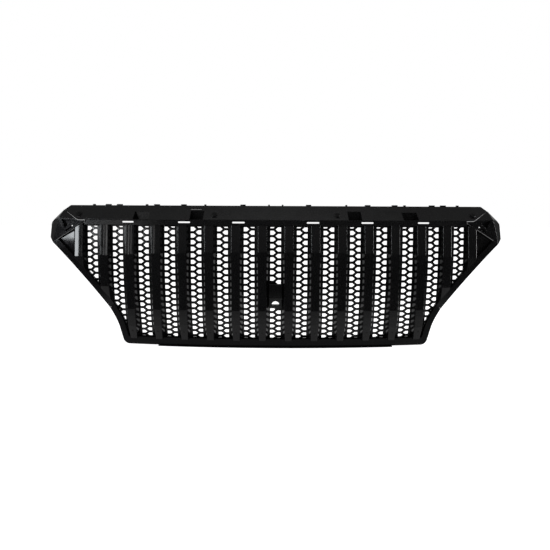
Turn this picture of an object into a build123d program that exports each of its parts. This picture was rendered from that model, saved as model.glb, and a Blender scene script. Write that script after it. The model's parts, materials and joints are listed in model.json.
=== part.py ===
from build123d import *
import os
from math import asin, atan2, cos, degrees, sin, sqrt

# Front grille of a large SUV. Millimetres; X runs along the grille, Y rearwards and Z up.
# The origin is the middle of the line between the two upper bolt holes, at the top face of
# the rail's bolt flange. Depth means distance behind the front line, which is the arc that
# the foremost edges of the bars follow when the grille is seen from above.

# --- Sweep seen from above, and side profile -------------------------------------------
SWEEP_R = 1550.0  # radius of the front line
FRONT_Y = -97.0  # the front line's place on the centreline
PROFILE_R = 460.0  # side-view radius of the honeycomb's front face
PROFILE_Z = -90.0  # height at which that face stands upright
PROFILE_DEPTH = 489.0  # depth of that arc's centre
RIB_R = PROFILE_R + 3.0  # front of the ribs that carry the bars
FLANGE_R = PROFILE_R + 1.5  # front of the carrier's edge flange
PANEL_BACK_R = PROFILE_R - 5.0
FLANGE_BACK_R = PROFILE_R - 8.0
RIB_BACK_R = PROFILE_R - 10.0
TRIM_R = PROFILE_R + 10.0  # front of the trims round the honeycomb
WALL = 3.0  # moulded wall
GAP = 0.4  # assembly gap between mouldings

# --- Outline seen from the front, right half --------------------------------------------
CAP_TOP = (530.0, 0.0)
CAP_SHOULDER = (590.4, -46.0)
CAP_SIDE = (589.5, -84.0)
CAP_TIP = (575.0, -95.0)
TRIM_BOW = (495.5, -176.5)  # the side trim's outer edge is a shallow arc through here
TRIM_END = (423.5, -264.0)
CORNER_BEND = (406.0, -300.0)
CORNER_FOOT = (394.3, -361.5)
RIDGE_END = (486.0, -41.0)  # inner end of the ridge across the corner cap
TRIM_W = 16.0  # width of the trims
WINDOW_TOP = -50.0  # upper edge of the honeycomb
WINDOW_SIDE = 514.0  # outer edge of the carrier
WINDOW_LOW = -340.0  # lower edge of the honeycomb

# --- Bars and honeycomb strips ------------------------------------------------------------
PITCH = 65.7
PITCH_GROWTH = 0.145  # the pitch widens a little towards the ends
BARS_PER_SIDE = 8
STRIPS_PER_SIDE = 7
BAR_TOP = -49.5
BAR_TOP_DEPTH = 16.5
CREASE_Z = -114.0  # upper crease of the middle bars
CREASE_DEPTH = 8.0
CREASE_DROP = 15.5  # how much lower it is on the outermost bar
LOW_CREASE_Z = -298.0
LOW_CREASE_DROP = 10.0  # how much lower it is on the sixth bar
UNDERCUT = 0.155  # depth gained per millimetre down the middle facet
BENDS = ((-262.0, 0.36), (-280.0, 0.5))  # where it starts to turn under, and the depth gained after
BAR_FOOT = -343.0
BAR_FOOT_DEPTH = 80.0
FRONT_HALF = 10.8  # half width of a bar's front face
FOOT_FRONT_HALF = 7.8
BASE_HALF = 18.2
TOP_BASE_HALF = 16.6
FOOT_BASE_HALF = 15.0
CORNER_FOOT_BASE_HALF = 12.6  # the sixth bar's, which stands in the lower frame's corner
BAR_EDGE = 1.8  # radius along a bar's front edges
BAR_CROWN = 0.5  # how far a bar's front face bulges between them
BAR_WALL = 2.8
RIB_HALF = 12.0
PANEL_HALF = 26.0
CELL_PITCH = 16.48  # along the face
ZIGZAG = 4.5  # how far the wall between a strip's two columns swings to either side
CELL_END = 13.2  # outer ends of the cells, just clear of the bars
CELL_WALL = 6.2

# --- Top rail -------------------------------------------------------------------------------
RAIL_TOP_DEPTH = 50.0
RAIL_LOW = (12.0, -37.0)  # depth and height of the sloped face's lower edge
BAND_DEPTH = 17.0  # slotted band under the sloped face
SHELF_DEPTH = 40.0
SHELF_T = 2.5
FLANGE_DEPTH = 86.0
SLOT_X = (93.0, 230.0, 375.0)
SLOT_SIZE = (31.0, 3.8)
SLOT_Z = -41.4
NOTCH_X = 199.0
NOTCH_W = 34.0
NOTCH_TOP = -13.5
RECESS_X = 342.0
RECESS_W = 40.0
RECESS_TOP = -15.5
POCKET_LOW = -35.0
POCKET_BACK = 42.0  # depth of the pockets' upright back walls
RETAINER_X = (152.0, 502.0)
WIDE_TAB_X = (82.0, 231.5, 301.0, 399.0, 429.0)
THIN_TAB_X = (17.0, 177.0, 327.0, 468.0)
TAB_RISE = 3.0

# --- Fixings --------------------------------------------------------------------------------
BOLT_R = 3.5
UPPER_BOLT_X = 300.0
LOWER_BOLT_X = 340.0
SIDE_BOLT_X = 562.0
SIDE_BOLT_Z = -66.0
LIP_X = 304.0
LIP_Z = -364.5
SCREW_R = 1.9
SCREW_HEAD_R = 4.0
PILOT_R = 1.95
BOSS_R = 4.0
PIN_R = 2.25
PIN_BORE_R = 2.30
SHANK_R = 3.95
SHANK_HOLE_R = 4.05

# --- Badge plate and camera bracket ------------------------------------------------------
BADGE_Z = (-194.0, -230.5)
BADGE_HALF = 16.4
CAMERA_Z = (-231.0, -256.5)
CAMERA_HALF = 14.9
LENS_SIZE = (17.4, 9.8)

# --- Carrier details ------------------------------------------------------------------------
PANEL_LOW = -342.0
CELL_ROWS = 19
FLANGE_W = 13.0  # how far the edge flange reaches under the trims
FLANGE_LAP = 2.5  # how far it laps inside the window
FLANGE_RISE = 5.5  # how far it stands above the window
EAR_BARS = (1, 5, 7)  # bars whose ribs reach up to the rail
EAR_TOP = -27.0
EAR_SCREW_Z = -33.0
BAR_SCREWS = (-84.0, -196.0, -318.0)
END_BAR_SCREWS = {7: (-84.0, -160.0), 8: (-84.0,)}
SCREW_SEAT = 6.0

# --- Trims, lower frame and lip -------------------------------------------------------------
CHANNEL_DEPTH = 25.0
CHANNEL_TOP = -60.0
CHANNEL_END_X = 620.0
LIP_T = 2.5
JOINT_RISE = 3.0
FRAME_SCREWS = (
    (66.0, -350.0), (198.0, -350.0), (310.0, -350.0), (396.2, -307.2),
    (450.0, -217.0), (497.8, -161.6), (536.0, -121.0),
)
LOWER_BOLT_DEPTH = 126.0
LIP_DEPTHS = (101.0, 141.0)
LIP_SCREW_DEPTH = 124.0
LIP_SCREW_X = (-260.0, -156.0, -52.0, 52.0, 156.0, 260.0)
LIP_SCREW_LENGTH = 4.6

# --- Rail details -----------------------------------------------------------------------------
SHELF_Z = -49.0
RAIL_EDGE = 1.6
RAIL_SWEEP_X = 590.0
RAIL_CORNER = (545.5, -11.8)  # top of the joint between rail and cap
RAIL_FOOT = (503.5, -37.0)  # bottom of that joint
RAIL_BOSS_TIP = 21.5
POCKET_WALL = 2.0
VENT_ALONG = 0.77
VENT_H = 3.4
RETAINER_ALONG = 0.36
PAD_SIZE = (15.0, 17.0)
PAD_T = 1.2

# --- Bar details ------------------------------------------------------------------------------
BAR_OVERCUT = 10.0
SHORT_FACET = 24.0  # height of the seventh bar's lower facet
END_OVERRUN = 24.0  # the two outer bars run on before they are cut along the trim
END_PROUD = 6.0
PILOT_DEPTH = 8.0

# --- Corner caps --------------------------------------------------------------------------------
CAP_PEAK = (557.0, -33.0)
CAP_BACK = 92.0
CAP_RECESS = ((551.0, -35.0), (523.5, -41.5), (540.5, -58.5))
CAP_RECESS_DEPTH = 9.0
CAP_SLOT = ((539.5, -67.0), (518.0, -51.5))
CAP_SLOT_W = 3.8

# --- Small parts ----------------------------------------------------------------------------------
BADGE_R = PROFILE_R + 13.0
CAMERA_R = PROFILE_R + 9.0
LENS_Z = -243.0
TUBE_SIZE = (22.0, 15.0)
TUBE_LENGTH = 34.0
SCREW_HEAD_H = 2.4
SCREW_LENGTH = 13.0
PANEL_SCREW = 9.0
RETAINER_HEAD_R = 7.0
RETAINER_HEAD_H = 2.4
SHANK_LENGTH = 14.0
PIN_HEAD_R = 4.2
PIN_HEAD_H = 1.2
PIN_TIP = 2.0

SWEEP_CENTRE = Axis((0, FRONT_Y + SWEEP_R, 0), (0, 0, 1))
REACH = 400.0  # longer than the grille is deep
SLAB_DEPTH = 50.0  # depth at which straight lengths follow the grille's curve exactly
SLAB_LEVELS = (-370.0, -190.0, -10.0)  # heights that their section arcs run through


def yaw(x):
    """How far the front line has turned at x."""
    return asin(x / SWEEP_R)


def place(x, depth, z):
    """The point of the surface at this depth that has this x and z."""
    return Vector(x, sweep_y(x, depth), z)


def side_plane(x):
    """Upright section across the grille: its x is depth and its y is height."""
    turn = yaw(x)
    return Plane(
        origin=place(x, 0, 0), x_dir=(-sin(turn), cos(turn), 0), z_dir=(cos(turn), sin(turn), 0)
    )


def front_plane(x, depth=0.0, z=0.0):
    """Plane that faces forwards at x: its x runs along the grille and its y is up."""
    turn = yaw(x)
    return Plane(
        origin=place(x, depth, z), x_dir=(cos(turn), sin(turn), 0), z_dir=(sin(turn), -cos(turn), 0)
    )


def ahead_plane(x, depth, z):
    """Plane that looks straight ahead at x: its x runs sideways and its y is up."""
    return Plane(origin=(x, sweep_y(x, depth), z), x_dir=(1, 0, 0), z_dir=(0, -1, 0))


def face_plane(x, along=0.5):
    """Plane on the rail's sloped face, where along runs from its lower edge to its top edge."""
    turn = yaw(x)
    run = RAIL_TOP_DEPTH - RAIL_LOW[0]
    slope = atan2(-RAIL_LOW[1], run)
    origin = place(x, RAIL_LOW[0] + along * run, RAIL_LOW[1] * (1 - along))
    out = (sin(slope) * sin(turn), -sin(slope) * cos(turn), cos(slope))
    return Plane(origin=origin, x_dir=(cos(turn), sin(turn), 0), z_dir=out)


def arc_depth(radius, z):
    """Depth of the concentric profile arc of this radius at height z."""
    return PROFILE_DEPTH - sqrt(radius**2 - (z - PROFILE_Z) ** 2)


def arc_height(radius, length):
    """Height of the point that lies this far along a profile arc from its upright place."""
    return PROFILE_Z + radius * sin(length / radius)


def strip_x(n):
    return PITCH * n + PITCH_GROWTH * n * n


def bar_x(k):
    return strip_x(k - 0.5)


def shell_sketch(plane, front, back, high, low):
    """Section between two profile arcs, on a side plane."""
    middle = (high + low) / 2
    with BuildSketch(plane) as sketch:
        with BuildLine():
            ThreePointArc(*((arc_depth(front, z), z) for z in (high, middle, low)))
            Line((arc_depth(front, low), low), (arc_depth(back, low), low))
            ThreePointArc(*((arc_depth(back, z), z) for z in (low, middle, high)))
            Line((arc_depth(back, high), high), (arc_depth(front, high), high))
        make_face()
    return sketch.sketch


def slab(x, front, back, high, low, half):
    """The space between two profile arcs beside x, carried straight along the front line."""
    turn = asin(x / (SWEEP_R - SLAB_DEPTH))
    bottom, middle, top = SLAB_LEVELS
    with BuildSketch(Plane.YZ.offset(x)) as section:
        with BuildLine():
            rise = ThreePointArc(*((sweep_y(x, arc_depth(front, z)), z) for z in (top, middle, bottom)))
            fall = ThreePointArc(*((sweep_y(x, arc_depth(back, z)), z) for z in (bottom, middle, top)))
            Line(rise @ 1, fall @ 0)
            Line(fall @ 1, rise @ 0)
        make_face()
    with BuildPart() as piece:
        extrude(section.sketch, amount=half / cos(turn), dir=(cos(turn), sin(turn), 0), both=True)
        split(bisect_by=Plane.XY.offset(high), keep=Keep.BOTTOM)
        split(bisect_by=Plane.XY.offset(low), keep=Keep.TOP)
    return piece.part


def swept(section, end_x):
    """A section from the side plane at -end_x, swept along the front line to end_x."""
    with BuildPart() as sweep_part:
        revolve(section, axis=SWEEP_CENTRE, revolution_arc=2 * degrees(yaw(end_x)))
    return sweep_part.part


def swept_shell(front, back, high, low, end_x):
    """The space between two profile arcs, swept along the front line to both ends."""
    return swept(shell_sketch(side_plane(-end_x), front, back, high, low), end_x)


def outline(inset=0.0):
    """The grille seen from the front, drawn in by an inset."""
    with BuildSketch(Plane.XZ) as sketch:
        with BuildLine():
            Polyline((0, CORNER_FOOT[1]), (0, 0), CAP_TOP, CAP_SHOULDER, CAP_SIDE, CAP_TIP)
            ThreePointArc(CAP_TIP, TRIM_BOW, TRIM_END)
            Polyline(TRIM_END, CORNER_BEND, CORNER_FOOT, (0, CORNER_FOOT[1]))
        make_face()
        foot = sketch.vertices().sort_by_distance(CORNER_FOOT)[0]
        fillet(foot, 16.0)
        bends = [sketch.vertices().sort_by_distance(p)[0] for p in (TRIM_END, CORNER_BEND)]
        fillet(bends, 130.0)
        mirror(about=Plane.YZ)
        if inset:
            offset(amount=-inset, kind=Kind.INTERSECTION)
    return sketch.sketch


def sweep_y(x, depth):
    """Where the surface at this depth stands at x, measured straight back."""
    return FRONT_Y + SWEEP_R - sqrt((SWEEP_R - depth) ** 2 - x**2)


def clipped(part, *sketches):
    """The part's stretch inside every one of these front-view sketches."""
    with BuildPart() as piece:
        add(part)
        for sketch in sketches:
            extrude(sketch, amount=REACH, both=True, mode=Mode.INTERSECT)
    return piece.part


def without(part, *cutters):
    with BuildPart() as piece:
        add(part)
        for cutter in cutters:
            add(cutter, mode=Mode.SUBTRACT)
    return piece.part


def front_area(*corners):
    """Front-view polygon, and its mirror image joined to it."""
    with BuildSketch(Plane.XZ) as sketch:
        Polygon(*corners, align=None)
        mirror(about=Plane.YZ)
    return sketch.sketch


def mirrored(part):
    with BuildPart() as image:
        mirror(part, about=Plane.YZ)
    return image.part


def finish(name, part):
    part.label = name
    export_step(part, f"parts/{name}.step")
    print(name, len(part.solids()), round(part.volume), flush=True)


def finish_pair(name, right):
    """Writes a right-hand piece and its mirror image."""
    finish(f"{name}_right", right)
    finish(f"{name}_left", mirrored(right))


# --- Honeycomb carrier -------------------------------------------------------------------------
def cell(side, length):
    """One opening in front view, pointed towards the strip's middle, this far along the profile arc."""
    half = CELL_WALL / 2
    high = arc_height(PROFILE_R, length + CELL_PITCH / 2) - half
    low = arc_height(PROFILE_R, length - CELL_PITCH / 2) + half
    lean = 4 * ZIGZAG / CELL_PITCH
    slack = half * sqrt(1 + lean**2)
    tip = slack - ZIGZAG
    shoulder = ZIGZAG + slack - half * lean
    Polygon(
        (side * tip, (high + low) / 2),
        (side * shoulder, low),
        (side * CELL_END, low),
        (side * CELL_END, high),
        (side * shoulder, high),
        align=None,
    )


def strip_panel(x, solid_from=0.0, solid_to=0.0):
    """Honeycomb strip at x, solid between two heights."""
    top = PROFILE_R * asin((WINDOW_TOP - PROFILE_Z) / PROFILE_R)
    with BuildPart() as panel:
        add(slab(x, PROFILE_R, PANEL_BACK_R, WINDOW_TOP + 2, PANEL_LOW, PANEL_HALF))
        with BuildSketch(Plane.XZ):
            with Locations((x, 0)):
                for row in range(CELL_ROWS):
                    for side, length in ((1, top - (row + 0.5) * CELL_PITCH), (-1, top - row * CELL_PITCH)):
                        if not solid_to < arc_height(PROFILE_R, length) < solid_from:
                            cell(side, length)
        extrude(amount=REACH, both=True, mode=Mode.SUBTRACT)
    return panel.part


def rib(k, high, low):
    """Upright rib behind a bar."""
    return slab(bar_x(k), RIB_R, RIB_BACK_R, high, low, RIB_HALF)


def opening(inset=0.0):
    """The area inside the trims, drawn in by an inset."""
    with BuildSketch(Plane.XZ) as sketch:
        add(outline(TRIM_W + inset))
        with Locations((0, WINDOW_LOW + inset)):
            Rectangle(4 * REACH, 2 * REACH, align=(Align.CENTER, Align.MIN), mode=Mode.INTERSECT)
    return sketch.sketch


def window(inset=0.0):
    """The carrier's area inside the trims, below the ridges, drawn in by an inset."""
    with BuildSketch(Plane.XZ) as sketch:
        add(opening(inset))
        width = 2 * (WINDOW_SIDE - inset)
        with Locations((0, WINDOW_TOP - inset)):
            Rectangle(width, REACH, align=(Align.CENTER, Align.MAX), mode=Mode.INTERSECT)
        add(front_area(*ridge_cover(inset + GAP)), mode=Mode.SUBTRACT)
    return sketch.sketch


def ridge_cover(drop):
    """Corners of the area above the right-hand ridge, lowered by a drop."""
    fall = (RIDGE_END[1] - CAP_TIP[1]) / (CAP_TIP[0] - RIDGE_END[0])
    start_x, end_x = 470.0, 600.0
    start_z = RIDGE_END[1] + (RIDGE_END[0] - start_x) * fall - drop
    return (start_x, start_z), (end_x, start_z - (end_x - start_x) * fall), (end_x, 60), (start_x, 60)


def screw_levels(k):
    return END_BAR_SCREWS.get(k, BAR_SCREWS)


def seat_depth(z):
    """Depth of the flat seat under a screw head on a rib's back."""
    return arc_depth(RIB_R, z) + SCREW_SEAT


def bar_screw_spots():
    for k in range(1, BARS_PER_SIDE + 1):
        for z in screw_levels(k):
            yield k, z
    for k in EAR_BARS:
        yield k, EAR_SCREW_Z


def rib_drilling():
    """Clearance holes and head seats for the screws on the right-hand ribs."""
    with BuildPart() as holes:
        for k, z in bar_screw_spots():
            with BuildSketch(ahead_plane(bar_x(k), 0, z)):
                Circle(SCREW_R + 0.2)
            extrude(amount=-REACH / 2)
            with BuildSketch(ahead_plane(bar_x(k), seat_depth(z), z)):
                Circle(SCREW_HEAD_R + 0.8)
            extrude(amount=-REACH / 4)
    return holes.part


def frame_drilling():
    """Clearance holes for the screws that hold the trims and the lower frame."""
    with BuildPart() as holes:
        with BuildSketch(Plane.XZ):
            with Locations(*((side * x, z) for x, z in FRAME_SCREWS for side in (-1, 1))):
                Circle(SCREW_R + 0.2)
        extrude(amount=REACH, both=True)
    return holes.part


def carrier_half():
    """Right half: panels and ribs, then the ears and the drilling."""
    pieces = [strip_panel(strip_x(n)) for n in range(1, STRIPS_PER_SIDE + 1)]
    pieces += [rib(k, WINDOW_TOP + 2, PANEL_LOW) for k in range(1, BARS_PER_SIDE + 1)]
    with BuildPart() as half:
        for piece in pieces:
            add(piece)
        extrude(window(GAP), amount=REACH, both=True, mode=Mode.INTERSECT)
        for k in EAR_BARS:
            add(rib(k, EAR_TOP, WINDOW_TOP - 8))
        add(rib_drilling(), mode=Mode.SUBTRACT)
    return half.part


def edge_flange():
    """Flange round the carrier that the trims and the lower frame sit on."""
    with BuildSketch(Plane.XZ) as area:
        add(outline(TRIM_W - FLANGE_W))
        with Locations((0, WINDOW_TOP + FLANGE_RISE)):
            Rectangle(2 * WINDOW_SIDE, REACH, align=(Align.CENTER, Align.MAX), mode=Mode.INTERSECT)
        add(front_area(*ridge_cover(GAP)), mode=Mode.SUBTRACT)
        add(window(FLANGE_LAP), mode=Mode.SUBTRACT)
    high = WINDOW_TOP + FLANGE_RISE + 1
    shell = swept_shell(FLANGE_R, FLANGE_BACK_R, high, CORNER_FOOT[1], CHANNEL_END_X)
    return clipped(shell, area.sketch)


def honeycomb_carrier():
    """The whole carrier as one moulding."""
    right = carrier_half()
    middle = strip_panel(0, BADGE_Z[0] + 2, CAMERA_Z[1] - 2)
    with BuildPart() as whole:
        add(right)
        mirror(right, about=Plane.YZ)
        add(middle)
        add(edge_flange())
        add(frame_drilling(), mode=Mode.SUBTRACT)
        with BuildSketch(Plane.XZ):
            with Locations((0, LENS_Z)):
                Rectangle(TUBE_SIZE[0] + 1, TUBE_SIZE[1] + 1)
        extrude(amount=REACH, both=True, mode=Mode.SUBTRACT)
    return whole.part


# --- Trims and lower frame ------------------------------------------------------------------
def ring(outer_inset, inner_inset):
    """Front-view band between the outline and the opening, each drawn in by an inset."""
    with BuildSketch(Plane.XZ) as sketch:
        add(outline(outer_inset))
        add(opening(inner_inset), mode=Mode.SUBTRACT)
    return sketch.sketch


def channel_shell(front, area):
    """Swept block behind a profile arc, inside a front-view area."""
    back = PROFILE_R - CHANNEL_DEPTH
    block = swept_shell(front, back, CHANNEL_TOP, CORNER_FOOT[1], CHANNEL_END_X)
    return clipped(block, area)


def frame_bosses():
    """Screw bosses inside the channel, from its front wall back to the carrier's flange."""
    spots = [(side * x, z) for x, z in FRAME_SCREWS for side in (-1, 1)]
    with BuildSketch(Plane.XZ) as ends:
        with Locations(*spots):
            Circle(BOSS_R)
        with Locations(*spots):
            Circle(PILOT_R, mode=Mode.SUBTRACT)
    posts = swept_shell(TRIM_R - WALL / 2, FLANGE_R + 0.1, CHANNEL_TOP, CORNER_FOOT[1], CHANNEL_END_X)
    return clipped(posts, ends.sketch)


def ring_channel():
    """Channel that follows the outline below the ridges, with a lip on the carrier's flange."""
    with BuildPart() as channel:
        add(channel_shell(TRIM_R, ring(0, 0)))
        add(channel_shell(TRIM_R - WALL, ring(WALL, -LIP_T)), mode=Mode.SUBTRACT)
        add(channel_shell(FLANGE_R + 0.1, ring(WALL, 1)), mode=Mode.SUBTRACT)
        add(frame_bosses())
    return channel.part


def joint_corners(shift):
    """Right-hand ends of the joint between side trim and lower frame, moved up the trim."""
    run = Vector(CAP_TIP[0] - TRIM_END[0], CAP_TIP[1] - TRIM_END[1], 0).normalized()
    across = Vector(-run.Y, run.X, 0)
    start = Vector(*TRIM_END, 0) + run * (JOINT_RISE + shift)
    return start - across * 30, start + across * 40, run * 300


def side_trim(channel):
    outer, inner, run = joint_corners(0)
    with BuildSketch(Plane.XZ) as area:
        Polygon(*((p.X, p.Y) for p in (outer, inner, inner + run, outer + run)), align=None)
        Polygon(*ridge_cover(GAP), align=None, mode=Mode.SUBTRACT)
    return clipped(channel, area.sketch)


def lower_frame(channel):
    outer, inner, _ = joint_corners(-2 * GAP)
    low = CORNER_FOOT[1] - 20
    area = front_area((0, inner.Y), (inner.X, inner.Y), (outer.X, outer.Y), (outer.X, low), (0, low))
    bolt_y = sweep_y(LOWER_BOLT_X, LOWER_BOLT_DEPTH)
    with BuildPart() as frame:
        add(clipped(channel, area))
        with Locations((LOWER_BOLT_X, bolt_y, CORNER_FOOT[1]), (-LOWER_BOLT_X, bolt_y, CORNER_FOOT[1])):
            Cylinder(BOLT_R, 4 * WALL, mode=Mode.SUBTRACT)
        with Locations(*((*spot, CORNER_FOOT[1]) for spot in lip_spots())):
            Cylinder(PILOT_R, 4 * WALL, mode=Mode.SUBTRACT)
    return frame.part


def lip_spots():
    """Places of the lip's screws, seen from above."""
    return [(x, sweep_y(x, LIP_SCREW_DEPTH)) for x in LIP_SCREW_X]


def lower_lip():
    """Thin blade under the lower frame that seats on the bumper."""
    end_x = LIP_X * SWEEP_R / (SWEEP_R - LIP_DEPTHS[0])
    with BuildSketch(side_plane(-end_x)) as section:
        Polygon(
            (LIP_DEPTHS[0], LIP_Z),
            (LIP_DEPTHS[1], LIP_Z),
            (LIP_DEPTHS[1], CORNER_FOOT[1]),
            (LIP_DEPTHS[0] + 1, CORNER_FOOT[1]),
            align=None,
        )
    with BuildPart() as lip:
        add(swept(section.sketch, end_x))
        with Locations(*(Location((x, y, LIP_Z), (180, 0, 0)) for x, y in lip_spots())):
            CounterSinkHole(SCREW_R + 0.2, SCREW_HEAD_R + 0.2, depth=2 * WALL)
    return lip.part


# --- Top rail ---------------------------------------------------------------------------------
def rail_section():
    """Sloped face, bolt flange, slotted band and shelf as one folded wall."""
    low_depth, low_z = RAIL_LOW
    slope = atan2(-low_z, RAIL_TOP_DEPTH - low_depth)
    skin_drop = WALL / cos(slope)  # the sloped wall's thickness measured upright
    inner_band = BAND_DEPTH + WALL
    inner_z = low_z + (inner_band - low_depth) * sin(slope) / cos(slope) - skin_drop
    inner_top = RAIL_TOP_DEPTH + (skin_drop - WALL) * cos(slope) / sin(slope)
    with BuildSketch(side_plane(-RAIL_SWEEP_X)) as section:
        Polygon(
            (FLANGE_DEPTH, 0),
            (RAIL_TOP_DEPTH, 0),
            RAIL_LOW,
            (BAND_DEPTH, low_z),
            (BAND_DEPTH, SHELF_Z),
            (SHELF_DEPTH, SHELF_Z),
            (SHELF_DEPTH, SHELF_Z + SHELF_T),
            (inner_band, SHELF_Z + SHELF_T),
            (inner_band, inner_z),
            (inner_top, -WALL),
            (FLANGE_DEPTH, -WALL),
            align=None,
        )
        edges = [(RAIL_TOP_DEPTH, 0), RAIL_LOW]
        fillet([section.vertices().sort_by_distance(p)[0] for p in edges], RAIL_EDGE)
    return section.sketch


def rail_pocket(x, width, high, depth):
    """Closed tray with an upright back wall, sunk into the sloped face: its block and its hollow."""
    size = (width, high - POCKET_LOW)
    middle = (high + POCKET_LOW) / 2
    face = face_plane(x)
    with BuildPart() as block:
        with BuildSketch(front_plane(x, BAND_DEPTH, middle)):
            Rectangle(size[0] + 2 * POCKET_WALL, size[1] + 2 * POCKET_WALL)
        extrude(amount=-(depth + POCKET_WALL - BAND_DEPTH))
        split(bisect_by=face.offset(-0.5), keep=Keep.BOTTOM)
    with BuildPart() as hollow:
        with BuildSketch(front_plane(x, 0, middle)) as mouth:
            Rectangle(*size)
            fillet(mouth.vertices(), 1.2)
        extrude(amount=-depth)
    return block.part, hollow.part


def rail_half_details():
    """Right-hand pockets, bosses and pads to add, and the holes to cut."""
    notch_block, notch_hollow = rail_pocket(NOTCH_X, NOTCH_W, NOTCH_TOP, POCKET_BACK)
    recess_block, recess_hollow = rail_pocket(RECESS_X, RECESS_W, RECESS_TOP, POCKET_BACK - 4)
    with BuildPart() as adds:
        add(notch_block)
        add(recess_block)
        for k in EAR_BARS:
            with BuildSketch(ahead_plane(bar_x(k), RAIL_BOSS_TIP, EAR_SCREW_Z)):
                Circle(BOSS_R)
            slack = GAP + BOSS_R * sin(yaw(bar_x(k)))
            extrude(amount=-(arc_depth(RIB_R, EAR_SCREW_Z) - slack - RAIL_BOSS_TIP))
        for x in RETAINER_X:
            with BuildSketch(face_plane(x, RETAINER_ALONG).offset(-1)) as pad:
                Rectangle(*PAD_SIZE)
                fillet(pad.vertices(), 2.0)
            extrude(amount=PAD_T + 1)
        for x, width in [(x, 13.0) for x in WIDE_TAB_X] + [(x, 4.0) for x in THIN_TAB_X]:
            with BuildSketch(front_plane(x, RAIL_TOP_DEPTH + 3, -1)) as tab:
                Rectangle(width, TAB_RISE + 1, align=(Align.CENTER, Align.MIN))
                fillet(tab.vertices().group_by(Axis.Z)[-1], 1.0)
            extrude(amount=-9)
    with BuildPart() as cuts:
        add(notch_hollow)
        add(recess_hollow)
        for k in EAR_BARS:
            with BuildSketch(ahead_plane(bar_x(k), RAIL_BOSS_TIP + 1, EAR_SCREW_Z)):
                Circle(PILOT_R)
            extrude(amount=-20)
        for x in SLOT_X:
            with BuildSketch(front_plane(x, 0, SLOT_Z)):
                SlotOverall(*SLOT_SIZE)
            extrude(amount=-(BAND_DEPTH + 2 * WALL))
        for x in RETAINER_X:
            with BuildSketch(face_plane(x, RETAINER_ALONG).offset(PAD_T + 1)):
                Circle(SHANK_HOLE_R)
            extrude(amount=-20)
        with Locations((UPPER_BOLT_X, 0, 0)):
            Cylinder(BOLT_R, 4 * WALL)
    return adds.part, cuts.part


def top_rail():
    end_corners = (
        (0, 20), (CAP_TOP[0], 20), CAP_TOP, RAIL_CORNER, RAIL_FOOT, (RIDGE_END[0] - GAP, RAIL_FOOT[1]),
        (RIDGE_END[0] - GAP, SHELF_Z - 10), (0, SHELF_Z - 10),
    )
    adds, cuts = rail_half_details()
    with BuildPart() as rail:
        add(clipped(swept(rail_section(), RAIL_SWEEP_X), front_area(*end_corners)))
        add(adds)
        mirror(adds, about=Plane.YZ)
        add(cuts, mode=Mode.SUBTRACT)
        mirror(cuts, about=Plane.YZ, mode=Mode.SUBTRACT)
        with BuildSketch(face_plane(-NOTCH_X, VENT_ALONG)):
            SlotOverall(NOTCH_W - 4, VENT_H)
        extrude(amount=2 * WALL, both=True, mode=Mode.SUBTRACT)
        behind = swept_shell(RIB_R + GAP, RIB_BACK_R - 40, SHELF_Z + 6, SHELF_Z - 6, RAIL_SWEEP_X)
        add(behind, mode=Mode.SUBTRACT)
    return rail.part


# --- Bars -------------------------------------------------------------------------------------
def trim_height(x):
    """Height of the side trim's inner edge at x."""
    rise = (CAP_TIP[1] - TRIM_END[1]) / (CAP_TIP[0] - TRIM_END[0])
    return CAP_TIP[1] + TRIM_W * sqrt(1 + rise**2) - (CAP_TIP[0] - x) * rise


def bar_stations(k):
    """Height, front depth, half front width and half base width down a bar."""
    x = bar_x(k)
    crease = CREASE_Z - CREASE_DROP * (x / bar_x(BARS_PER_SIDE)) ** 2
    stations = [
        (BAR_TOP, BAR_TOP_DEPTH, FRONT_HALF, TOP_BASE_HALF),
        (crease, CREASE_DEPTH, FRONT_HALF, BASE_HALF),
    ]
    if k <= 6:
        z, depth, gain = crease, CREASE_DEPTH, UNDERCUT
        low_z = LOW_CREASE_Z - LOW_CREASE_DROP * (x / bar_x(6)) ** 2
        for next_z, next_gain in (*BENDS, (low_z, 0)):
            depth += (z - next_z) * gain
            z, gain = next_z, next_gain
            stations.append((z, depth, FRONT_HALF - 0.6, BASE_HALF))
        foot_base = CORNER_FOOT_BASE_HALF if k == 6 else FOOT_BASE_HALF
        return [*stations, (BAR_FOOT, BAR_FOOT_DEPTH, FOOT_FRONT_HALF, foot_base)]
    end_z = trim_height(x)
    past_z = end_z - END_OVERRUN
    if k == 7:
        low_z = end_z + SHORT_FACET
        stations.append((low_z, CREASE_DEPTH + (crease - low_z) * UNDERCUT, FRONT_HALF - 0.4, BASE_HALF))
    past_depth = arc_depth(PROFILE_R, past_z) - END_PROUD
    return [*stations, (past_z, past_depth, FRONT_HALF - 0.8, BASE_HALF)]


def station_at(stations, z):
    """Depth and half widths of a bar at any height, between its stations."""
    for upper, lower in zip(stations, stations[1:]):
        if z >= lower[0]:
            break
    share = (upper[0] - z) / (upper[0] - lower[0])
    return tuple(a + (b - a) * share for a, b in zip(upper[1:], lower[1:]))


def bar_solid(x, stations, edge):
    """Ruled solid through level sections, wider than the bar at the back so it can be cut to fit."""
    with BuildPart() as solid:
        for z, depth, front, base in stations:
            face_depth = arc_depth(PROFILE_R, z)
            flare = (base - front) / (face_depth - depth)
            back = face_depth + BAR_OVERCUT
            back_half = front + flare * (back - depth)
            left = (x - front, sweep_y(x - front, depth))
            right = (x + front, sweep_y(x + front, depth))
            with BuildSketch(Plane.XY.offset(z)) as section:
                with BuildLine():
                    Polyline(
                        right,
                        (x + back_half, sweep_y(x + back_half, back)),
                        (x - back_half, sweep_y(x - back_half, back)),
                        left,
                    )
                    ThreePointArc(left, (x, (left[1] + right[1]) / 2 - BAR_CROWN), right)
                make_face()
                if edge:
                    fillet(section.vertices().sort_by(Axis.Y)[:2], edge)
        loft(ruled=True)
    return solid.part


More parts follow.
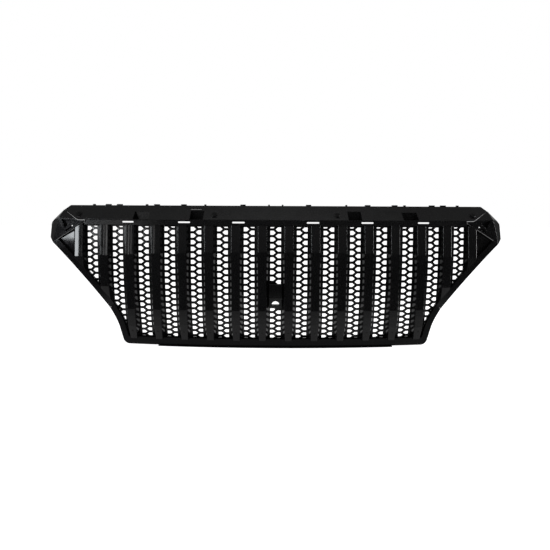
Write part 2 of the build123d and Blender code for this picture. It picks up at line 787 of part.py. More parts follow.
def bar_hollow(k, stations):
    """Space inside a bar, closed at both ends."""
    high, low = stations[0][0] - BAR_WALL, stations[-1][0] + BAR_WALL
    levels = [high, *(s[0] for s in stations[1:-1]), low]
    inner = []
    for z in levels:
        depth, front, base = station_at(stations, z)
        inner.append((z, depth + BAR_WALL, front - BAR_WALL * 0.85, base - BAR_WALL))
    space = bar_solid(bar_x(k), inner, 0)
    if k > 6:
        space = clipped(space, outline(TRIM_W + GAP + BAR_WALL))
    if k == BARS_PER_SIDE:
        space = without(space, area_prism(ridge_cover(GAP + BAR_WALL)))
    return space


def area_prism(corners):
    with BuildPart() as prism:
        with BuildSketch(Plane.XZ):
            Polygon(*corners, align=None)
        extrude(amount=REACH, both=True)
    return prism.part


def bar_bosses(k, stations):
    """Screw bosses inside a bar."""
    with BuildPart() as bosses:
        for z in screw_levels(k):
            depth = station_at(stations, z)[0]
            with BuildSketch(ahead_plane(bar_x(k), depth + BAR_WALL / 2, z)):
                Circle(BOSS_R)
            extrude(amount=-(arc_depth(RIB_R, z) + 6 - depth))
    return bosses.part


def bar_pilots(k):
    with BuildPart() as holes:
        for z in screw_levels(k):
            with BuildSketch(ahead_plane(bar_x(k), arc_depth(RIB_R, z) - PILOT_DEPTH, z)):
                Circle(PILOT_R)
            extrude(amount=-2 * PILOT_DEPTH - 10)
    return holes.part


def bar(k, frame_zone):
    """Hollow upright bar that stands on its rib and clears the trims."""
    x = bar_x(k)
    stations = bar_stations(k)
    behind = slab(x, RIB_R, RIB_R - 90, WINDOW_TOP + 8, CORNER_FOOT[1] - 4, 40)
    with BuildPart() as piece:
        add(bar_solid(x, stations, BAR_EDGE))
        add(bar_hollow(k, stations), mode=Mode.SUBTRACT)
        add(bar_bosses(k, stations))
        add(behind, mode=Mode.SUBTRACT)
        add(bar_pilots(k), mode=Mode.SUBTRACT)
        if k > 6:
            extrude(outline(TRIM_W + GAP), amount=REACH, both=True, mode=Mode.INTERSECT)
        else:
            add(frame_zone, mode=Mode.SUBTRACT)
        if k == BARS_PER_SIDE:
            add(area_prism(ridge_cover(GAP)), mode=Mode.SUBTRACT)
    return piece.part


# --- Corner caps and panels -------------------------------------------------------------------
def cap_point(x, z, depth):
    return Vector(x, sweep_y(x, depth), z)


def cap_facets():
    """Foremost planes of the right-hand cap, facing out."""
    peak = cap_point(*CAP_PEAK, 16.0)
    tip = cap_point(*CAP_TIP, arc_depth(TRIM_R, CAP_TIP[1]))
    ridge = cap_point(*RIDGE_END, RAIL_LOW[0])
    joint_top = cap_point(*RAIL_CORNER, 33.6)
    joint_low = cap_point(*RAIL_FOOT, RAIL_LOW[0])
    side = cap_point(*CAP_SIDE, 50.0)
    shoulder = cap_point(*CAP_SHOULDER, 60.0)
    corners = (
        (peak, ridge, tip), (peak, joint_low, joint_top), (peak, tip, side), (peak, shoulder, joint_top),
    )
    planes = []
    for a, b, c in corners:
        out = (b - a).cross(c - a).normalized()
        if out.Y > 0:
            out = out * -1
        planes.append(Plane(origin=a, x_dir=(b - a).normalized(), z_dir=out))
    return planes


def cap_block(inset, setback):
    """Solid inside the cap's outline and behind its facets."""
    corners = (
        RAIL_CORNER, CAP_SHOULDER, CAP_SIDE, CAP_TIP, RIDGE_END,
        (RIDGE_END[0], RAIL_FOOT[1] - 2 * GAP), (RAIL_FOOT[0], RAIL_FOOT[1] - 2 * GAP),
    )
    with BuildPart() as block:
        with BuildSketch(Plane.XZ.offset(-CAP_BACK)) as face:
            Polygon(*corners, align=None)
            offset(amount=-(inset + GAP / 2), kind=Kind.INTERSECTION)
        extrude(amount=2 * REACH)
        for facet in cap_facets():
            split(bisect_by=facet.offset(-setback), keep=Keep.BOTTOM)
    return block.part


def corner_cap():
    """Hollow faceted cap with its triangular recess, slot and bolt tab."""
    middle = cap_facets()[0]
    recess = [middle.to_local_coords(cap_point(x, z, 14.0)) for x, z in CAP_RECESS]
    slot_ends = [middle.to_local_coords(cap_point(x, z, 14.0)) for x, z in CAP_SLOT]
    run = slot_ends[1] - slot_ends[0]
    slot_middle = (slot_ends[0] + slot_ends[1]) / 2
    slot_turn = degrees(atan2(run.Y, run.X))
    with BuildPart() as cap:
        add(cap_block(0, 0))
        add(cap_block(WALL, WALL), mode=Mode.SUBTRACT)
        with BuildSketch(middle.offset(-1)):
            with BuildLine():
                Polyline(*((p.X, p.Y) for p in recess), close=True)
            make_face()
            offset(amount=POCKET_WALL)
        extrude(amount=-CAP_RECESS_DEPTH - POCKET_WALL + 1)
        with BuildSketch(middle.offset(5)):
            with BuildLine():
                Polyline(*((p.X, p.Y) for p in recess), close=True)
            make_face()
        extrude(amount=-CAP_RECESS_DEPTH - 5, mode=Mode.SUBTRACT)
        with BuildSketch(middle.offset(5)):
            with Locations(Location((slot_middle.X, slot_middle.Y), slot_turn)):
                SlotOverall(run.length, CAP_SLOT_W)
        extrude(amount=-60, mode=Mode.SUBTRACT)
        with BuildSketch(Plane.XZ.offset(-CAP_BACK)):
            with Locations((SIDE_BOLT_X, SIDE_BOLT_Z)):
                Rectangle(2 * (CAP_SIDE[0] - SIDE_BOLT_X - 1), 22)
        extrude(amount=WALL)
        with Locations(Location((SIDE_BOLT_X, CAP_BACK, SIDE_BOLT_Z), (90, 0, 0))):
            Cylinder(BOLT_R, 4 * WALL, mode=Mode.SUBTRACT)
        extrude(outline(), amount=REACH, both=True, mode=Mode.INTERSECT)
    return cap.part


def corner_panel():
    """Plain triangular plate between the end bar, the ridge and the side trim."""
    with BuildSketch(Plane.XZ) as area:
        add(outline(WALL + GAP))
        with Locations((WINDOW_SIDE + GAP, 0)):
            Rectangle(REACH, REACH, align=(Align.MIN, Align.MAX), mode=Mode.INTERSECT)
        Polygon(*ridge_cover(GAP), align=None, mode=Mode.SUBTRACT)
        with Locations(*FRAME_SCREWS):
            Circle(SCREW_R + 0.2, mode=Mode.SUBTRACT)
    plate = swept_shell(FLANGE_R, FLANGE_R - WALL, CHANNEL_TOP + 20, CAP_TIP[1] - 60, CHANNEL_END_X)
    return clipped(plate, area.sketch)


# --- Badge plate and camera bracket --------------------------------------------------------------
def badge_plate():
    """Blank plate between the two middle bars, on two posts."""
    high, low = BADGE_Z
    with BuildPart() as plate:
        add(slab(0, BADGE_R, BADGE_R - WALL, high, low, BADGE_HALF))
        front_edges = plate.edges().filter_by(Axis.X).sort_by(Axis.Y)[:2]
        chamfer(front_edges, 0.8)
        for z in (high - 10, low + 10):
            depth = arc_depth(BADGE_R, z) + 1
            with BuildSketch(ahead_plane(0, depth, z)):
                Circle(BOSS_R)
            extrude(amount=depth - arc_depth(PROFILE_R, z + BOSS_R))
    return plate.part


def lens_outline():
    """Arched opening with a flat foot."""
    half, rise = LENS_SIZE[0] / 2, LENS_SIZE[1]
    foot = LENS_Z - rise / 2
    with BuildSketch(Plane.XZ) as lens:
        with BuildLine():
            Polyline((-half, foot + rise * 0.45), (-half, foot), (half, foot), (half, foot + rise * 0.45))
            ThreePointArc((half, foot + rise * 0.45), (0, foot + rise), (-half, foot + rise * 0.45))
        make_face()
    return lens.sketch


def camera_bracket():
    """Square bezel with an arched lens opening and a tube through the carrier."""
    start = arc_depth(CAMERA_R - WALL, LENS_Z) - 3
    with BuildPart() as bracket:
        add(slab(0, CAMERA_R, CAMERA_R - WALL, *CAMERA_Z, CAMERA_HALF))
        with BuildSketch(ahead_plane(0, start, LENS_Z)):
            Rectangle(*TUBE_SIZE)
        extrude(amount=-TUBE_LENGTH)
        extrude(lens_outline(), amount=REACH, both=True, mode=Mode.SUBTRACT)
        with BuildSketch(ahead_plane(0, start + 3, LENS_Z)):
            Rectangle(TUBE_SIZE[0] - 2 * POCKET_WALL, TUBE_SIZE[1] - 2 * POCKET_WALL)
        extrude(amount=-TUBE_LENGTH, mode=Mode.SUBTRACT)
    return bracket.part


# --- Fasteners -----------------------------------------------------------------------------------
def screw(plane, length=SCREW_LENGTH):
    """Pan-head screw: the plane faces out of its head's seat."""
    with BuildPart() as piece:
        with BuildSketch(plane):
            Circle(SCREW_HEAD_R)
        extrude(amount=SCREW_HEAD_H)
        rim = piece.edges().filter_by(GeomType.CIRCLE).sort_by_distance(plane.offset(SCREW_HEAD_H).origin)
        chamfer(rim[0], 0.8)
        with BuildSketch(plane.offset(SCREW_HEAD_H)):
            Rectangle(SCREW_HEAD_R, 0.9)
            Rectangle(0.9, SCREW_HEAD_R)
        extrude(amount=-1.2, mode=Mode.SUBTRACT)
        with BuildSketch(plane):
            Circle(SCREW_R)
        extrude(amount=-length)
    return piece.part


def rear_plane(x, depth, z):
    """Plane that looks straight back at x."""
    return Plane(origin=(x, sweep_y(x, depth), z), x_dir=(-1, 0, 0), z_dir=(0, 1, 0))


def both_sides(pieces):
    """One group of separate solids: these pieces and their mirror images."""
    with BuildPart() as group:
        for piece in pieces:
            add(piece)
        for piece in pieces:
            mirror(piece, about=Plane.YZ)
    return group.part


def bar_screws():
    spots = [(k, z) for k in range(1, BARS_PER_SIDE + 1) for z in screw_levels(k)]
    return both_sides([screw(rear_plane(bar_x(k), seat_depth(z), z)) for k, z in spots])


def rail_screws():
    depth = seat_depth(EAR_SCREW_Z)
    return both_sides([screw(rear_plane(bar_x(k), depth, EAR_SCREW_Z)) for k in EAR_BARS])


def frame_screws():
    """Screws through the carrier's edge flange, and shorter ones through the corner panels."""
    pieces = []
    for x, z in FRAME_SCREWS:
        back, length = (FLANGE_BACK_R, SCREW_LENGTH) if x < WINDOW_SIDE else (FLANGE_R - WALL, PANEL_SCREW)
        seat_y = sweep_y(x + SCREW_HEAD_R, arc_depth(back, z - SCREW_HEAD_R))
        pieces.append(screw(Plane(origin=(x, seat_y, z), x_dir=(-1, 0, 0), z_dir=(0, 1, 0)), length))
    return both_sides(pieces)


def lip_screws():
    """Countersunk screws, flush with the lip's underside."""
    with BuildPart() as group:
        for x, y in lip_spots():
            with BuildSketch(Plane(origin=(x, y, LIP_Z), x_dir=(1, 0, 0), z_dir=(0, 0, -1))):
                Circle(SCREW_HEAD_R)
            extrude(amount=-(SCREW_HEAD_R - SCREW_R), taper=45)
            with BuildSketch(Plane.XY.offset(LIP_Z + 1)):
                with Locations((x, y)):
                    Circle(SCREW_R - 0.05)
            extrude(amount=LIP_SCREW_LENGTH)
    return group.part


def retainer_body(x):
    """Push-in retainer: flanged head, split shank with a bore for its centre pin."""
    seat = face_plane(x, RETAINER_ALONG).offset(PAD_T)
    with BuildPart() as body:
        with BuildSketch(seat):
            Circle(RETAINER_HEAD_R)
        extrude(amount=RETAINER_HEAD_H)
        rim = body.edges().filter_by(GeomType.CIRCLE).sort_by_distance(seat.offset(RETAINER_HEAD_H).origin)
        chamfer(rim[0], 0.7)
        with BuildSketch(seat):
            Circle(SHANK_R)
        extrude(amount=-SHANK_LENGTH)
        with BuildSketch(seat.offset(RETAINER_HEAD_H)):
            Circle(PIN_HEAD_R + 0.1)
        extrude(amount=-PIN_HEAD_H, mode=Mode.SUBTRACT)
        with BuildSketch(seat.offset(RETAINER_HEAD_H)):
            Circle(PIN_BORE_R)
        extrude(amount=-SHANK_LENGTH - RETAINER_HEAD_H, mode=Mode.SUBTRACT)
        with BuildSketch(seat.offset(-PAD_T - WALL - 3)):
            Rectangle(3 * SHANK_R, 1.4)
        extrude(amount=-SHANK_LENGTH, mode=Mode.SUBTRACT)
    return body.part


def retainer_pin(x):
    """Centre pin, pushed home: its head is flush with the retainer's."""
    seat = face_plane(x, RETAINER_ALONG).offset(PAD_T + RETAINER_HEAD_H)
    with BuildPart() as pin:
        with BuildSketch(seat.offset(-PIN_HEAD_H)):
            Circle(PIN_HEAD_R)
        extrude(amount=PIN_HEAD_H - 0.05)
        with BuildSketch(seat.offset(-PIN_HEAD_H)):
            Circle(PIN_R)
        extrude(amount=-(SHANK_LENGTH + RETAINER_HEAD_H - PIN_HEAD_H + PIN_TIP))
        with BuildSketch(seat):
            Rectangle(PIN_HEAD_R * 1.5, 1.0)
        extrude(amount=-0.6, mode=Mode.SUBTRACT)
    return pin.part


# --- Build every piece ------------------------------------------------------------------------------
os.makedirs("parts", exist_ok=True)

finish("top_rail", top_rail())

channel = ring_channel()
finish_pair("side_trim", side_trim(channel))
finish("lower_frame", lower_frame(channel))
finish("lower_lip", lower_lip())
finish_pair("corner_cap", corner_cap())
finish_pair("corner_panel", corner_panel())

frame_zone = swept_shell(TRIM_R + GAP, PROFILE_R - 70, WINDOW_LOW + GAP, CORNER_FOOT[1] - 2, 420)
for k in range(1, BARS_PER_SIDE + 1):
    right_bar = bar(k, frame_zone)
    finish(f"bar_right_{k}", right_bar)
    finish(f"bar_left_{k}", mirrored(right_bar))

finish("badge_plate", badge_plate())
finish("camera_bracket", camera_bracket())
finish("bar_screws", bar_screws())
finish("rail_screws", rail_screws())
finish("frame_screws", frame_screws())
finish("lip_screws", lip_screws())
for place_name, x in zip(("inner", "outer"), RETAINER_X):
    finish_pair(f"retainer_body_{place_name}", retainer_body(x))
    finish_pair(f"retainer_pin_{place_name}", retainer_pin(x))

finish("honeycomb_carrier", honeycomb_carrier())
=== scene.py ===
"""The looks of the front grille: materials, softened edges, light and camera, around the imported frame."""

import json
import math

import bpy
from mathutils import Matrix, Vector


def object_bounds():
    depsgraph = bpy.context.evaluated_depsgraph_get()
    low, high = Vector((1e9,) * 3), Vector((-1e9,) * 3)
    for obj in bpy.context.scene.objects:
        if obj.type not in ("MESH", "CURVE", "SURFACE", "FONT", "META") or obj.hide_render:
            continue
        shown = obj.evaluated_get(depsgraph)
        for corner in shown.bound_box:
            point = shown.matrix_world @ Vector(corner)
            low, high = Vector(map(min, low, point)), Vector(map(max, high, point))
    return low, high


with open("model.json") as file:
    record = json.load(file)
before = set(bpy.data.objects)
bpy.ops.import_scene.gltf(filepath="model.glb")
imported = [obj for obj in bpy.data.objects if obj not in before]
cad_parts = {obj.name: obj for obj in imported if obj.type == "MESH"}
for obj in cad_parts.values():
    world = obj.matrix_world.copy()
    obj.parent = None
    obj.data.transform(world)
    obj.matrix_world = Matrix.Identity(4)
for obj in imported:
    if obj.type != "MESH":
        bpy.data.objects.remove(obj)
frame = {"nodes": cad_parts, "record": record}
CAD_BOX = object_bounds()
NODES = frame["nodes"]

# ---------------------------------------------------------------- camera
LENS_MM = 64.1
SENSOR_MM = 36.0
AIM = Vector((-0.0013, -0.047, -0.1725))
EYE = Vector((-0.0013, -2.491, -0.0016))
ROLL_DEG = 0.26


def add_camera():
    data = bpy.data.cameras.new("camera")
    data.lens = LENS_MM
    data.sensor_width = SENSOR_MM
    data.clip_start = 0.05
    data.clip_end = 60.0
    cam = bpy.data.objects.new("camera", data)
    bpy.context.scene.collection.objects.link(cam)
    turn = (AIM - EYE).to_track_quat("-Z", "Y").to_matrix().to_4x4()
    cam.matrix_world = Matrix.Translation(EYE) @ turn @ Matrix.Rotation(math.radians(ROLL_DEG), 4, "Z")
    bpy.context.scene.camera = cam


add_camera()


# ---------------------------------------------------------------- material helpers
class Graph:
    """A material's node tree with short calls for the nodes used here."""

    def __init__(self, name):
        self.material = bpy.data.materials.new(name)
        self.material.use_nodes = True
        self.tree = self.material.node_tree
        self.tree.nodes.clear()
        self.shader = self.add("ShaderNodeBsdfPrincipled")
        self.output = self.add("ShaderNodeOutputMaterial")
        self.link(self.shader.outputs[0], self.output.inputs[0])
        self.coords = self.add("ShaderNodeTexCoord").outputs["Object"]

    def add(self, kind, **settings):
        node = self.tree.nodes.new(kind)
        for key, value in settings.items():
            setattr(node, key, value)
        return node

    def link(self, source, socket):
        self.tree.links.new(source, socket)

    def put(self, socket, value):
        if hasattr(value, "is_output"):
            self.link(value, socket)
        else:
            socket.default_value = value

    def stretched(self, scale):
        node = self.add("ShaderNodeMapping")
        self.link(self.coords, node.inputs["Vector"])
        node.inputs["Scale"].default_value = scale
        return node.outputs[0]

    def noise(self, scale, detail=2.0, rough=0.5, vector=None):
        node = self.add("ShaderNodeTexNoise")
        self.link(vector or self.coords, node.inputs["Vector"])
        node.inputs["Scale"].default_value = scale
        node.inputs["Detail"].default_value = detail
        node.inputs["Roughness"].default_value = rough
        return node.outputs["Fac"]

    def cells(self, scale, vector=None):
        node = self.add("ShaderNodeTexVoronoi")
        self.link(vector or self.coords, node.inputs["Vector"])
        node.inputs["Scale"].default_value = scale
        return node.outputs["Distance"]

    def fit(self, value, low, high, to_low, to_high):
        node = self.add("ShaderNodeMapRange")
        self.put(node.inputs["Value"], value)
        for socket, number in zip(node.inputs[1:5], (low, high, to_low, to_high)):
            self.put(socket, number)
        return node.outputs[0]

    def math(self, operation, a, b=0.0):
        node = self.add("ShaderNodeMath", operation=operation)
        self.put(node.inputs[0], a)
        self.put(node.inputs[1], b)
        return node.outputs[0]

    def mix(self, factor, a, b):
        node = self.add("ShaderNodeMix", data_type="RGBA")
        self.put(node.inputs[0], factor)
        self.put(node.inputs[6], a)
        self.put(node.inputs[7], b)
        return node.outputs[2]

    def bump(self, height, distance, strength=1.0, normal=None):
        node = self.add("ShaderNodeBump")
        node.inputs["Strength"].default_value = strength
        node.inputs["Distance"].default_value = distance
        self.link(height, node.inputs["Height"])
        if normal is not None:
            self.link(normal, node.inputs["Normal"])
        return node.outputs[0]

    def rounded(self, radius, samples=4):
        """Normal that turns smoothly over an edge, as a mould's radius does."""
        bevel = self.add("ShaderNodeBevel", samples=samples)
        bevel.inputs["Radius"].default_value = radius
        return bevel.outputs[0]

    def edges(self, normal, low=0.02, high=0.25):
        """0 on open faces, 1 along the edges that this rounded normal turns over."""
        plain = self.add("ShaderNodeNewGeometry").outputs["Normal"]
        dot = self.add("ShaderNodeVectorMath", operation="DOT_PRODUCT")
        self.link(normal, dot.inputs[0])
        self.link(plain, dot.inputs[1])
        return self.fit(self.math("SUBTRACT", 1.0, dot.outputs["Value"]), low, high, 0.0, 1.0)

    def facing_up(self, low=0.55, high=0.98):
        """1 where the surface looks up, for settled dust."""
        split = self.add("ShaderNodeSeparateXYZ")
        self.link(self.add("ShaderNodeNewGeometry").outputs["Normal"], split.inputs[0])
        return self.fit(split.outputs["Z"], low, high, 0.0, 1.0)


CLOUD_SCALE = 7.0  # slow drift of the colour over a whole piece
BLOTCH_SCALE = 46.0
WORN_SCALE = 160.0
DUST_SCALE = 70.0
PEEL_SCALE = 190.0
FINE_GRAIN_SCALE = 900.0
PEBBLE_SCALE = 1700.0
PEBBLE_FROM = 0.00001  # a grain higher than this is pebbled, a lower one is plain
HAIRLINE_STRETCH = (1500.0, 1500.0, 24.0)
WORN_GREY, WORN_GAIN = 0.006, 4.0
DUST_GREY = 0.05
HAIRLINE_ROUGH, WORN_ROUGH, DUST_ROUGH = 0.05, 0.12, 0.3
PLASTIC_IOR = 1.5


def grey(value, tint=0.0):
    return (value, value, value * (1.0 + tint), 1.0)


def moulded(name, colour, rough, peel, grain, radius=0.0006, wear=0.5, dust=0.12, shine=0.5):
    """Moulded plastic: rough is (polished, hazed), peel and grain are bump heights in metres.

    wear is how far the edges pale, dust how much settles on top, and shine the strength of the gloss.
    """
    g = Graph(name)
    cloudy = g.noise(CLOUD_SCALE, 4.0, 0.6)
    blotch = g.noise(BLOTCH_SCALE, 3.0, 0.55)
    hairline = g.noise(1.0, 2.0, 0.5, g.stretched(HAIRLINE_STRETCH))
    soft = g.rounded(radius)
    edge = g.edges(soft)
    worn = g.math("MULTIPLY", edge, g.fit(g.noise(WORN_SCALE, 3.0, 0.7), 0.42, 0.7, 0.15, 1.0))
    base = g.mix(g.fit(cloudy, 0.3, 0.7, 0.0, 1.0), grey(colour * 0.82, 0.05), grey(colour * 1.18, 0.09))
    base = g.mix(g.math("MULTIPLY", worn, wear), base, grey(colour * WORN_GAIN + WORN_GREY, 0.02))
    speckle = g.fit(g.noise(DUST_SCALE, 5.0, 0.7), 0.4, 0.75, 0.0, dust)
    settled = g.math("MULTIPLY", g.facing_up(), speckle)
    base = g.mix(settled, base, grey(DUST_GREY, -0.06))
    g.link(base, g.shader.inputs["Base Color"])
    haze = g.math("MULTIPLY", g.fit(blotch, 0.35, 0.7, 0.0, 1.0), g.fit(cloudy, 0.35, 0.65, 0.35, 1.0))
    roughness = g.fit(haze, 0.0, 1.0, rough[0], rough[1])
    roughness = g.math("ADD", roughness, g.fit(hairline, 0.62, 0.78, 0.0, HAIRLINE_ROUGH))
    roughness = g.math("ADD", roughness, g.math("MULTIPLY", worn, WORN_ROUGH))
    roughness = g.math("ADD", roughness, g.math("MULTIPLY", settled, DUST_ROUGH))
    g.link(roughness, g.shader.inputs["Roughness"])
    ripple = g.bump(g.noise(PEEL_SCALE, 2.0, 0.45), peel, normal=soft)
    texture = g.cells(PEBBLE_SCALE) if grain > PEBBLE_FROM else g.noise(FINE_GRAIN_SCALE, 2.0, 0.5)
    g.link(g.bump(texture, grain, normal=ripple), g.shader.inputs["Normal"])
    g.shader.inputs["IOR"].default_value = PLASTIC_IOR
    g.shader.inputs["Specular IOR Level"].default_value = shine
    return g.material


def zinc(name):
    """Zinc plate on turned steel, with a little staining and brighter edges."""
    g = Graph(name)
    turned = g.noise(1.0, 3.0, 0.6, g.stretched((2600.0, 300.0, 2600.0)))
    stain = g.noise(420.0, 4.0, 0.6)
    edge = g.edges(g.rounded(0.0004))
    base = g.mix(g.fit(stain, 0.35, 0.7, 0.0, 1.0), (0.50, 0.50, 0.52, 1.0), (0.36, 0.35, 0.33, 1.0))
    base = g.mix(g.math("MULTIPLY", edge, 0.5), base, (0.72, 0.72, 0.73, 1.0))
    g.link(base, g.shader.inputs["Base Color"])
    roughness = g.math("ADD", g.fit(turned, 0.3, 0.7, 0.22, 0.4), g.fit(stain, 0.4, 0.8, 0.0, 0.14))
    g.link(roughness, g.shader.inputs["Roughness"])
    g.link(g.bump(turned, 0.00002), g.shader.inputs["Normal"])
    g.shader.inputs["Metallic"].default_value = 1.0
    return g.material


# colour, (polished, hazed) roughness, peel height, grain height, then what differs from the usual
PLASTICS = {
    "bar_gloss_black": (0.0030, (0.07, 0.15), 0.00002, 0.0000012, {}),
    "trim_gloss_black": (0.0032, (0.08, 0.17), 0.00002, 0.0000012, {}),
    "frame_gloss_black": (0.0030, (0.10, 0.20), 0.00002, 0.0000015, {"wear": 0.25, "shine": 0.14}),
    "rail_satin_black": (0.0042, (0.18, 0.25), 0.00001, 0.000003, {"wear": 0.12}),
    "honeycomb_black": (0.0036, (0.20, 0.30), 0.00001, 0.000003, {"radius": 0.0009}),
    "bracket_satin_black": (0.013, (0.38, 0.50), 0.00001, 0.000012, {}),
    "retainer_nylon": (0.0028, (0.34, 0.46), 0.00001, 0.000006, {"radius": 0.0004, "shine": 0.2}),
}
MATERIALS = {
    name: moulded(name, colour, rough, peel, grain, **other)
    for name, (colour, rough, peel, grain, other) in PLASTICS.items()
}
MATERIALS["zinc_steel"] = zinc("zinc_steel")
SLOT_OF = {part["node"]: part["material_slot"] for part in frame["record"]["subparts"]}
for name, node in NODES.items():
    node.data.materials.clear()
    node.data.materials.append(MATERIALS[SLOT_OF[name]])


# ---------------------------------------------------------------- light and stage
FLOOR_SIZE = 30.0
FLOOR_Z = CAD_BOX[0][2] - 0.0008
FLAG_LIFT = 0.0003  # the flag lies this far above the floor
SWEEP_CENTRE_Y = 1.453  # the bars' front line is an arc about this point
SWEEP_R = 1.550
FLAG_NEAR, FLAG_FAR = 0.00, 0.20  # the flag darkens between these distances ahead of the bars
FLAG_GREY, FLAG_DARK = 0.30, 0.03
BACK_FADE = (0.88, 0.97)  # what the gloss sees brightens between these shares of a direction's +Y
SIDE_LEVEL = 0.055
UP_FADE = (0.05, 0.30)  # and between these shares of its +Z
FRONT_LEVEL = 0.008
UP_LEVEL = 0.20
LEFT_CORNER = (-0.50, -0.04, -0.09)
RIGHT_CORNER = (0.50, -0.04, -0.09)
WHITE = (1.0, 1.0, 1.0)
# name, azimuth, elevation and distance from the corner it is aimed at, size, power, colour
CORNER_LIGHTS = (
    ("box_left", -57, 15, 2.3, LEFT_CORNER, (0.5, 1.3), 23.0, (0.93, 0.97, 1.0)),
    ("strip_left_a", -30, 12, 2.6, LEFT_CORNER, (0.07, 1.3), 0.5, WHITE),
    ("strip_left_b", -36, 12, 2.6, LEFT_CORNER, (0.10, 1.3), 0.9, WHITE),
    ("strip_left_c", -42, 12, 2.6, LEFT_CORNER, (0.07, 1.3), 0.7, WHITE),
    ("low_left", -53, -1, 2.3, LEFT_CORNER, (0.7, 0.4), 0.08, (0.80, 0.87, 1.0)),
    ("side_right", 98, 8, 2.2, RIGHT_CORNER, (0.9, 1.2), 40.0, WHITE),
    ("box_right", 60, 20, 2.5, RIGHT_CORNER, (0.3, 0.8), 2.0, (0.95, 0.93, 1.0)),
)
OVERHEAD = ("overhead", (0.0, -0.5, 2.4), (0, 0, -0.2), (3.0, 0.8), 4.0)  # name, at, target, size, power


def stage_plane(name, size, at):
    """Level square plane that isn't part of the object."""
    mesh = bpy.data.meshes.new(name)
    h = size / 2
    mesh.from_pydata([(-h, -h, 0), (h, -h, 0), (h, h, 0), (-h, h, 0)], [], [(0, 1, 2, 3)])
    obj = bpy.data.objects.new(name, mesh)
    bpy.context.scene.collection.objects.link(obj)
    obj.location = at
    return obj


def area_light(name, at, target, size, power, colour=WHITE):
    """Softbox that faces its target and that the camera doesn't see."""
    data = bpy.data.lights.new(name, "AREA")
    data.shape = "RECTANGLE"
    data.size, data.size_y = size
    data.energy = power
    data.color = colour
    lamp = bpy.data.objects.new(name, data)
    bpy.context.scene.collection.objects.link(lamp)
    lamp.location = at
    lamp.rotation_euler = (Vector(target) - Vector(at)).to_track_quat("-Z", "Y").to_euler()
    lamp.visible_camera = False
    return lamp


def around(azimuth, elevation, distance, centre):
    """Point this far from a centre: azimuth 0 is straight in front, positive towards +X."""
    turn, rise = math.radians(azimuth), math.radians(elevation)
    level = distance * math.cos(rise)
    offset = Vector((level * math.sin(turn), -level * math.cos(turn), distance * math.sin(rise)))
    return Vector(centre) + offset


def add_floor():
    """Plain white floor that glows as brightly as the room behind it."""
    floor = stage_plane("floor", FLOOR_SIZE, (0, 0, FLOOR_Z))
    mat = bpy.data.materials.new("floor_paper")
    mat.use_nodes = True
    shader = mat.node_tree.nodes["Principled BSDF"]
    shader.inputs["Base Color"].default_value = (0.9, 0.9, 0.9, 1.0)
    shader.inputs["Roughness"].default_value = 0.9
    shader.inputs["Emission Color"].default_value = (1.0, 1.0, 1.0, 1.0)
    shader.inputs["Emission Strength"].default_value = 1.0
    floor.data.materials.append(mat)


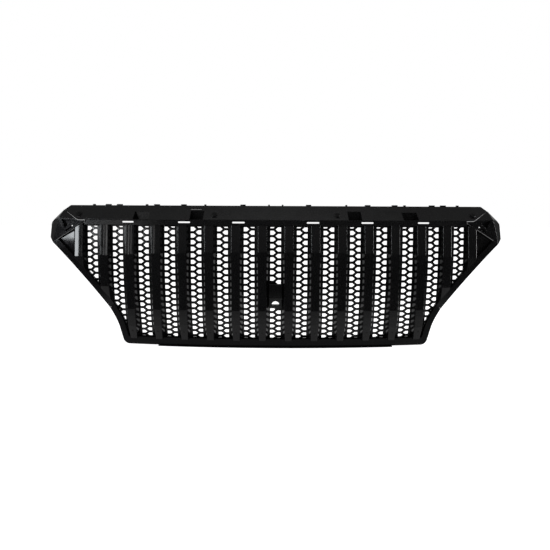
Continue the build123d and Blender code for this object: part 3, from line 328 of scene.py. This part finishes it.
def add_floor_flag():
    """What the gloss sees of the floor: grey close under the grille, dark further out in front."""
    flag = stage_plane("floor_flag", FLOOR_SIZE, (0, 0, FLOOR_Z + FLAG_LIFT))
    flag.visible_camera = False
    flag.visible_diffuse = False
    flag.visible_shadow = False
    mat = bpy.data.materials.new("floor_flag")
    mat.use_nodes = True
    tree = mat.node_tree
    tree.nodes.clear()
    coords = tree.nodes.new("ShaderNodeTexCoord").outputs["Object"]
    shift = tree.nodes.new("ShaderNodeVectorMath")
    shift.operation = "SUBTRACT"
    tree.links.new(coords, shift.inputs[0])
    shift.inputs[1].default_value = (0.0, SWEEP_CENTRE_Y, 0.0)
    length = tree.nodes.new("ShaderNodeVectorMath")
    length.operation = "LENGTH"
    tree.links.new(shift.outputs[0], length.inputs[0])
    fade = tree.nodes.new("ShaderNodeMapRange")
    fade.interpolation_type = "SMOOTHSTEP"
    tree.links.new(length.outputs["Value"], fade.inputs["Value"])
    span = (SWEEP_R + FLAG_NEAR, SWEEP_R + FLAG_FAR)
    for socket, number in zip(fade.inputs[1:5], (*span, FLAG_GREY, FLAG_DARK)):
        socket.default_value = number
    glow = tree.nodes.new("ShaderNodeEmission")
    tree.links.new(fade.outputs[0], glow.inputs["Strength"])
    out = tree.nodes.new("ShaderNodeOutputMaterial")
    tree.links.new(glow.outputs[0], out.inputs[0])
    flag.data.materials.append(mat)


def add_world():
    """White to the eye; what the gloss reflects is bright straight behind, grey above, dark in front."""
    world = bpy.data.worlds.new("studio")
    bpy.context.scene.world = world
    world.use_nodes = True
    tree = world.node_tree
    tree.nodes.clear()
    out = tree.nodes.new("ShaderNodeOutputWorld")
    coords = tree.nodes.new("ShaderNodeTexCoord").outputs["Generated"]
    split = tree.nodes.new("ShaderNodeSeparateXYZ")
    tree.links.new(coords, split.inputs[0])

    def ramp(source, span, levels):
        node = tree.nodes.new("ShaderNodeMapRange")
        node.interpolation_type = "SMOOTHSTEP"
        tree.links.new(source, node.inputs["Value"])
        for socket, number in zip(node.inputs[1:5], (*span, *levels)):
            socket.default_value = number
        return node.outputs[0]

    def larger(a, b):
        node = tree.nodes.new("ShaderNodeMath")
        node.operation = "MAXIMUM"
        tree.links.new(a, node.inputs[0])
        tree.links.new(b, node.inputs[1])
        return node.outputs[0]

    back = ramp(split.outputs["Y"], BACK_FADE, (SIDE_LEVEL, 1.0))
    up = ramp(split.outputs["Z"], UP_FADE, (FRONT_LEVEL, UP_LEVEL))
    seen = tree.nodes.new("ShaderNodeBackground")
    seen.inputs["Strength"].default_value = 1.0
    seen.inputs["Color"].default_value = (1.0, 1.0, 1.0, 1.0)
    felt = tree.nodes.new("ShaderNodeBackground")
    tree.links.new(larger(back, up), felt.inputs["Strength"])
    path = tree.nodes.new("ShaderNodeLightPath")
    pick = tree.nodes.new("ShaderNodeMixShader")
    tree.links.new(path.outputs["Is Camera Ray"], pick.inputs[0])
    tree.links.new(felt.outputs[0], pick.inputs[1])
    tree.links.new(seen.outputs[0], pick.inputs[2])
    tree.links.new(pick.outputs[0], out.inputs[0])


add_floor()
add_floor_flag()
add_world()
for name, azimuth, elevation, distance, corner, size, power, colour in CORNER_LIGHTS:
    area_light(name, around(azimuth, elevation, distance, corner), corner, size, power, colour)
area_light(*OVERHEAD)
bpy.context.scene.view_settings.view_transform = "Standard"
bpy.context.scene.view_settings.look = "None"
